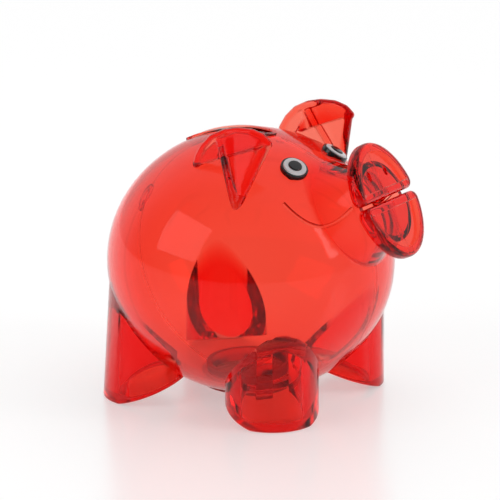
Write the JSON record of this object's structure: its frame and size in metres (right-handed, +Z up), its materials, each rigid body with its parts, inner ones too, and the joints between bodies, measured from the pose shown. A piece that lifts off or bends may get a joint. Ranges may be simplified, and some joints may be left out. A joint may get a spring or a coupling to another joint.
{
  "type": "piggy bank",
  "caption": "Hollow translucent plastic piggy bank: round body on stub legs, split snout, folded ears, button eyes, coin slot on the crown and a pull-out belly stopper.",
  "frame": {"origin": "middle of the pig's length and width, on the plane that its feet stand on", "axes": "+X from the tail to the snout, +Y to the pig's left side, +Z up"},
  "size_m": [0.1156, 0.1016, 0.1019],
  "materials": {
    "red_translucent_plastic": "high gloss, translucent",
    "black_plastic": "gloss",
    "white_plastic": "gloss",
    "stopper_plastic": "soft, translucent"
  },
  "bodies": {
    "bank": {"left_shell": "red_translucent_plastic", "right_shell": "red_translucent_plastic", "left_eye_base": "black_plastic", "left_eye_white": "white_plastic", "left_eye_pupil": "black_plastic", "right_eye_base": "black_plastic", "right_eye_white": "white_plastic", "right_eye_pupil": "black_plastic"},
    "stopper": {"belly_stopper": "stopper_plastic"}
  },
  "joints": [
    {"name": "stopper_pull", "type": "slide", "parent": "bank", "child": "stopper", "axis": [0, 0, -1], "range_m": [0, 0.03]}
  ]
}
